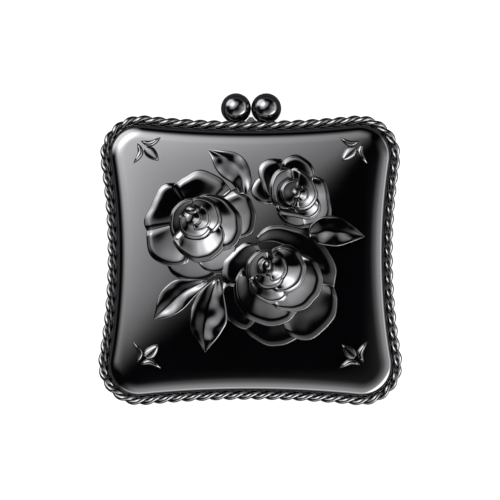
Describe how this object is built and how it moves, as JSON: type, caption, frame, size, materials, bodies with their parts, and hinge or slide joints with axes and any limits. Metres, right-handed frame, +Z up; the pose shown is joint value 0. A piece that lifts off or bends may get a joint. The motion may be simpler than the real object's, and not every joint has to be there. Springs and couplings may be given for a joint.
{
  "type": "powder compact",
  "caption": "Pillow-shaped powder compact with a mirror lid on a rear hinge, a kiss-lock knob clasp, a round powder pan and a puff.",
  "frame": {"origin": "on the flat underside of the base, below the middle of the body, with the compact closed and lying on its base", "axes": "+Z up through the lid, +Y from the hinge to the clasp knobs, +X to the right seen from above with the clasp at the top"},
  "size_m": [0.0804, 0.0828, 0.019],
  "materials": {
    "black_lacquer": "high gloss piano black",
    "panel_black": "high gloss black moulding with a mirror-like lacquer",
    "rope_black": "high gloss black twisted rope moulding",
    "knob_black": "high gloss black round knob",
    "tray_plastic": "satin to glossy black inner plastic",
    "pan_metal": "bright drawn aluminium",
    "pressed_powder": "matt pressed powder, warm beige",
    "clear_film": "clear thin film",
    "puff_velour": "short pile velour, pale beige",
    "ribbon_satin": "black satin ribbon",
    "steel": "bright steel wire",
    "mirror_glass": "silvered glass",
    "adhesive_pad": "white foam tape"
  },
  "bodies": {
    "base": {"base_shell": "black_lacquer", "base_tray": "tray_plastic", "pan_pad": "adhesive_pad", "powder_pan": "pan_metal", "powder_cake": "pressed_powder", "divider_film": "clear_film", "powder_puff": "puff_velour", "puff_ribbon": "ribbon_satin", "hinge_pin": "steel", "base_clasp_bracket": "black_lacquer", "base_clasp_rivet": "steel"},
    "lid": {"lid_rim": "black_lacquer", "lid_rope_trim": "rope_black", "lid_panel": "panel_black", "mirror_frame": "tray_plastic", "mirror": "mirror_glass", "mirror_tape": "adhesive_pad", "lid_clasp_bracket": "black_lacquer", "lid_clasp_rivet": "steel"},
    "lid_knob": {"lid_clasp_knob": "knob_black"},
    "base_knob": {"base_clasp_knob": "knob_black"}
  },
  "joints": [
    {"name": "lid_hinge", "type": "hinge", "parent": "base", "child": "lid", "pos_m": [0, -0.0358, 0.006], "axis": [1, 0, 0], "range_deg": [0, 130]},
    {"name": "lid_knob_flex", "type": "hinge", "parent": "lid", "child": "lid_knob", "pos_m": [-0.00385, 0.0357, 0.008], "axis": [0, 0, 1], "range_deg": [0, 5], "stiffness_Nm_per_rad": 0.02},
    {"name": "base_knob_flex", "type": "hinge", "parent": "base", "child": "base_knob", "pos_m": [0.0043, 0.0357, 0.008], "axis": [0, 0, -1], "range_deg": [0, 5], "stiffness_Nm_per_rad": 0.02}
  ]
}
